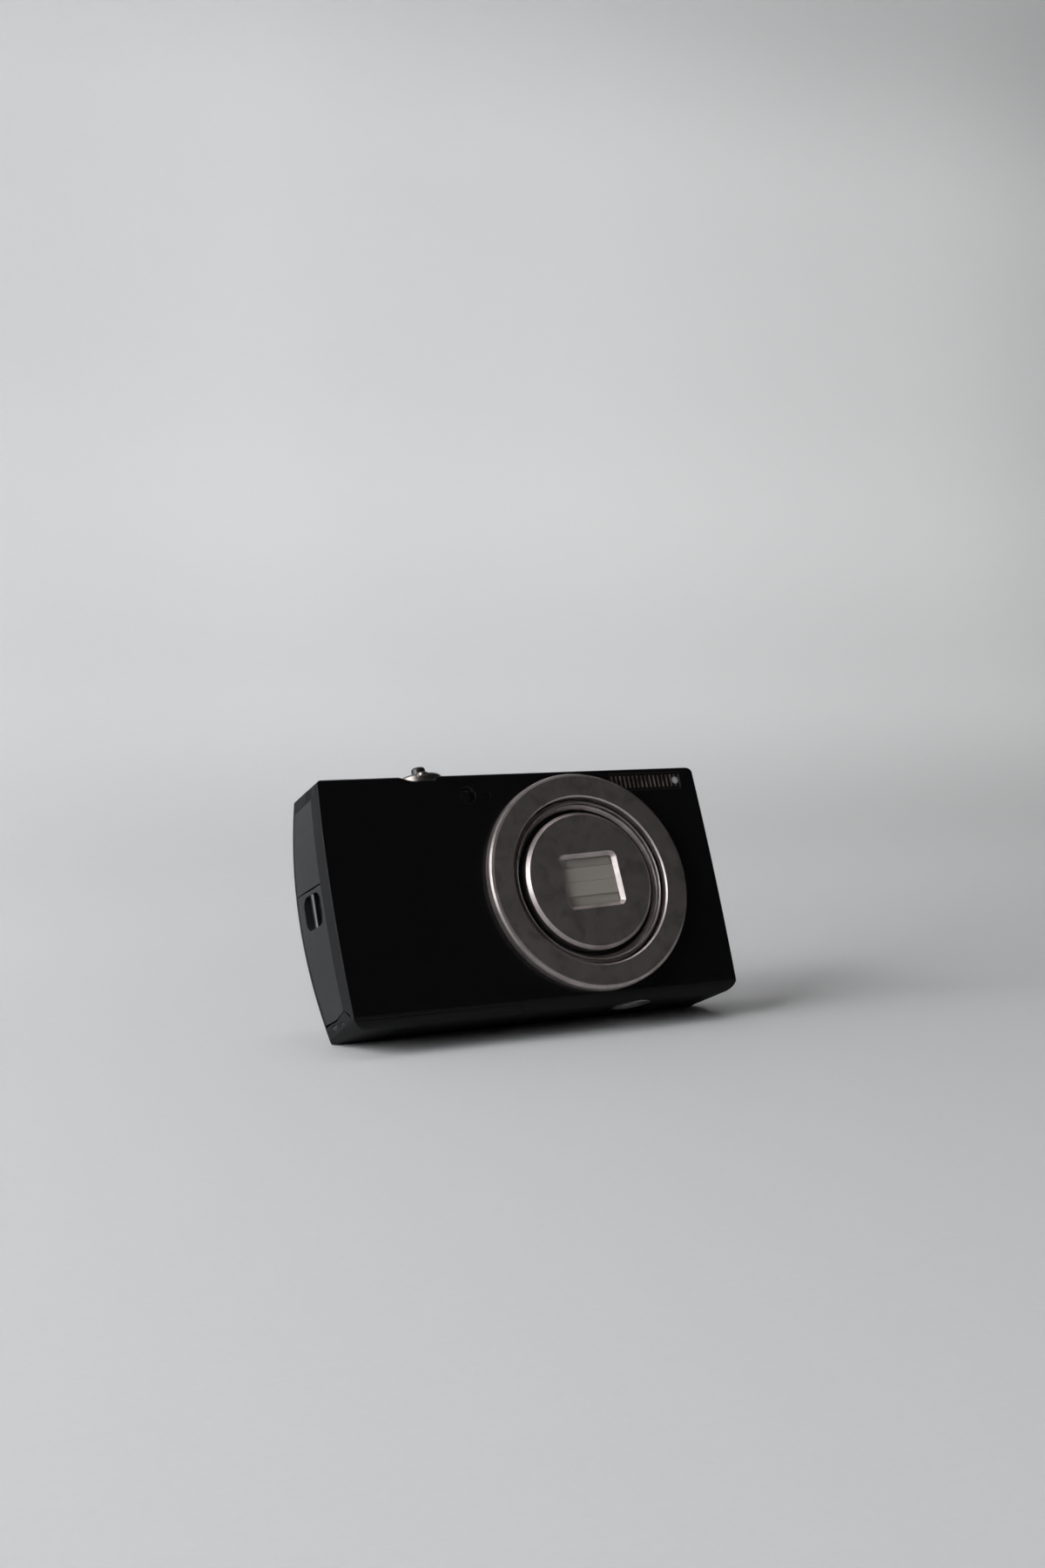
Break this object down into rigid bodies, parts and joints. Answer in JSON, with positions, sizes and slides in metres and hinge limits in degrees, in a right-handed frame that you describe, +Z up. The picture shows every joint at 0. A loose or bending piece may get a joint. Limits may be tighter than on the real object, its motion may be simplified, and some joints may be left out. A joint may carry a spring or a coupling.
{
  "type": "compact camera",
  "caption": "Slim compact camera: flat front with a raised zoom lens ring, square barrier window, grey grip end, release button on top and a screen with keys at the rear.",
  "frame": {"origin": "middle of the underside, on the plane the camera stands on", "axes": "+X to the right as seen from the front, away from the grip; the lens faces -Y; +Z up"},
  "size_m": [0.095, 0.0218, 0.0552],
  "materials": {
    "gloss_black": "gloss",
    "matt_grey": "matt",
    "ring_metal": "satin",
    "steel": "satin",
    "battery_grey": "matt",
    "brass": "satin",
    "inner_black": "matt",
    "latch_orange": "matt",
    "card_blue": "matt",
    "gear_white": "matt",
    "glass": "clear",
    "sensor_green": "gloss",
    "window_black": "gloss",
    "screen_dark": "gloss",
    "board_green": "satin",
    "key_dark": "satin",
    "clear_plastic": "clear",
    "reflector": "gloss",
    "capacitor_black": "gloss",
    "lamp_clear": "clear",
    "screw_black": "satin",
    "blade_grey": "matt"
  },
  "bodies": {
    "camera_body": {"front_cover": "gloss_black", "rear_cover": "gloss_black", "top_cover": "gloss_black", "side_cover": "matt_grey", "strap_bar": "steel", "usb_socket": "steel", "battery": "battery_grey", "battery_contacts": "brass", "battery_holder": "inner_black", "memory_card": "card_blue", "card_socket": "steel", "lens_ring": "ring_metal", "lens_housing": "inner_black", "zoom_motor": "steel", "image_sensor": "sensor_green", "lcd_window": "window_black", "lcd_panel": "screen_dark", "lcd_frame": "steel", "main_board": "board_green", "key_board": "board_green", "flash_window": "clear_plastic", "flash_reflector": "reflector", "flash_tube": "glass", "flash_capacitor": "capacitor_black", "af_window": "clear_plastic", "af_lamp": "lamp_clear", "speaker": "steel", "top_board": "board_green", "tripod_socket": "steel", "chassis": "steel", "case_screws": "screw_black"},
    "terminal_flap": {"terminal_cover": "matt_grey"},
    "door_runner": {"door_slider": "steel"},
    "door": {"battery_door": "gloss_black"},
    "latch": {"battery_latch": "latch_orange"},
    "ring_drive": {"drive_ring": "inner_black"},
    "idler": {"idler_gear": "gear_white"},
    "pinion": {"motor_gear": "brass"},
    "outer_lens": {"outer_barrel": "ring_metal", "cam_barrel": "inner_black"},
    "inner_lens": {"inner_barrel": "ring_metal", "front_plate": "ring_metal", "front_lens_cell": "inner_black", "front_lens": "glass"},
    "blade_ui": {"blade_upper_inner": "blade_grey"},
    "blade_uo": {"blade_upper_outer": "blade_grey"},
    "blade_li": {"blade_lower_inner": "blade_grey"},
    "blade_lo": {"blade_lower_outer": "blade_grey"},
    "focus_group": {"rear_lens_cell": "inner_black", "rear_lens": "glass"},
    "key_movie": {"movie_key": "key_dark"},
    "key_playback": {"playback_key": "key_dark"},
    "key_menu": {"menu_key": "key_dark"},
    "key_set": {"set_key": "key_dark"},
    "pad_web": {"pad_gimbal": "inner_black"},
    "pad": {"control_pad": "key_dark"},
    "switch": {"mode_switch": "key_dark"},
    "release": {"shutter_button": "ring_metal"},
    "lever": {"zoom_lever": "ring_metal"},
    "power": {"power_button": "key_dark"}
  },
  "joints": [
    {"name": "terminal_cover_turn", "type": "hinge", "parent": "camera_body", "child": "terminal_flap", "pos_m": [-0.046, 0.00055, 0.0316], "axis": [0, 1, 0], "range_deg": [-50, 0]},
    {"name": "door_slide", "type": "slide", "parent": "camera_body", "child": "door_runner", "axis": [-1, 0, 0], "range_m": [0, 0.002]},
    {"name": "door_turn", "type": "hinge", "parent": "door_runner", "child": "door", "pos_m": [-0.0446, 0.00055, 0.0025], "axis": [0, 1, 0], "range_deg": [0, 100]},
    {"name": "latch_slide", "type": "slide", "parent": "camera_body", "child": "latch", "axis": [0, -1, 0], "range_m": [0, 0.0015], "stiffness_N_per_m": 150, "springref_m": -0.001},
    {"name": "zoom_slide", "type": "slide", "parent": "camera_body", "child": "outer_lens", "axis": [0, -1, 0], "range_m": [0, 0.0095]},
    {"name": "inner_slide", "type": "slide", "parent": "outer_lens", "child": "inner_lens", "axis": [0, -1, 0], "range_m": [0, 0.008]},
    {"name": "drive_ring_turn", "type": "hinge", "parent": "camera_body", "child": "ring_drive", "pos_m": [0.01325, 0.00355, 0.0266], "axis": [0, 1, 0], "range_deg": [0, 40]},
    {"name": "idler_turn", "type": "hinge", "parent": "camera_body", "child": "idler", "pos_m": [0.03255, 0.00355, 0.0104], "axis": [0, 1, 0], "range_deg": [-200, 0]},
    {"name": "pinion_turn", "type": "hinge", "parent": "camera_body", "child": "pinion", "pos_m": [0.03909, 0.00355, 0.00948], "axis": [0, 1, 0], "range_deg": [0, 350]},
    {"name": "focus_slide", "type": "slide", "parent": "camera_body", "child": "focus_group", "axis": [0, -1, 0], "range_m": [0, 0.0038]},
    {"name": "blade_ui_turn", "type": "hinge", "parent": "inner_lens", "child": "blade_ui", "pos_m": [0.00121, -0.00845, 0.02612], "axis": [0, -1, 0], "range_deg": [0, 27.5]},
    {"name": "blade_uo_turn", "type": "hinge", "parent": "inner_lens", "child": "blade_uo", "pos_m": [0.00121, -0.00845, 0.02612], "axis": [0, -1, 0], "range_deg": [0, 19]},
    {"name": "blade_li_turn", "type": "hinge", "parent": "inner_lens", "child": "blade_li", "pos_m": [0.02529, -0.00845, 0.02708], "axis": [0, -1, 0], "range_deg": [0, 27.5]},
    {"name": "blade_lo_turn", "type": "hinge", "parent": "inner_lens", "child": "blade_lo", "pos_m": [0.02529, -0.00845, 0.02708], "axis": [0, -1, 0], "range_deg": [0, 19]},
    {"name": "movie_press", "type": "slide", "parent": "camera_body", "child": "key_movie", "axis": [0, -1, 0], "range_m": [0, 0.0003], "stiffness_N_per_m": 600, "springref_m": -0.001},
    {"name": "playback_press", "type": "slide", "parent": "camera_body", "child": "key_playback", "axis": [0, -1, 0], "range_m": [0, 0.0003], "stiffness_N_per_m": 600, "springref_m": -0.001},
    {"name": "menu_press", "type": "slide", "parent": "camera_body", "child": "key_menu", "axis": [0, -1, 0], "range_m": [0, 0.0003], "stiffness_N_per_m": 600, "springref_m": -0.001},
    {"name": "set_press", "type": "slide", "parent": "camera_body", "child": "key_set", "axis": [0, -1, 0], "range_m": [0, 0.0003], "stiffness_N_per_m": 600, "springref_m": -0.001},
    {"name": "pad_tilt_up_down", "type": "hinge", "parent": "camera_body", "child": "pad_web", "pos_m": [-0.0298, 0.00945, 0.0245], "axis": [1, 0, 0], "range_deg": [-2, 2], "stiffness_Nm_per_rad": 0.05},
    {"name": "pad_tilt_left_right", "type": "hinge", "parent": "pad_web", "child": "pad", "pos_m": [-0.0298, 0.00945, 0.0245], "axis": [0, 0, 1], "range_deg": [-2, 2], "stiffness_Nm_per_rad": 0.05},
    {"name": "mode_switch_slide", "type": "slide", "parent": "camera_body", "child": "switch", "axis": [1, 0, 0], "range_m": [0, 0.0025]},
    {"name": "shutter_press", "type": "slide", "parent": "camera_body", "child": "release", "axis": [0, 0, -1], "range_m": [0, 0.0008], "stiffness_N_per_m": 300, "springref_m": -0.002},
    {"name": "zoom_lever_turn", "type": "hinge", "parent": "camera_body", "child": "lever", "pos_m": [-0.0197, -0.00355, 0.052], "axis": [0, 0, 1], "range_deg": [-18, 18], "stiffness_Nm_per_rad": 0.02},
    {"name": "power_press", "type": "slide", "parent": "camera_body", "child": "power", "axis": [0, 0, -1], "range_m": [0, 0.0004], "stiffness_N_per_m": 500, "springref_m": -0.001}
  ],
  "couplings": [
    {"joint": "inner_slide", "follows": "zoom_slide", "ratio": 0.8421},
    {"joint": "drive_ring_turn", "follows": "zoom_slide", "rad_per_m": 73.487},
    {"joint": "idler_turn", "follows": "zoom_slide", "rad_per_m": -367.44},
    {"joint": "pinion_turn", "follows": "zoom_slide", "rad_per_m": 643.02},
    {"joint": "focus_slide", "follows": "zoom_slide", "ratio": 0.4},
    {"joint": "blade_ui_turn", "follows": "zoom_slide", "rad_per_m": 50.523},
    {"joint": "blade_uo_turn", "follows": "zoom_slide", "rad_per_m": 34.907},
    {"joint": "blade_li_turn", "follows": "zoom_slide", "rad_per_m": 50.523},
    {"joint": "blade_lo_turn", "follows": "zoom_slide", "rad_per_m": 34.907},
    {"joint": "door_turn", "follows": "door_slide", "rad_per_m": 872.66}
  ]
}
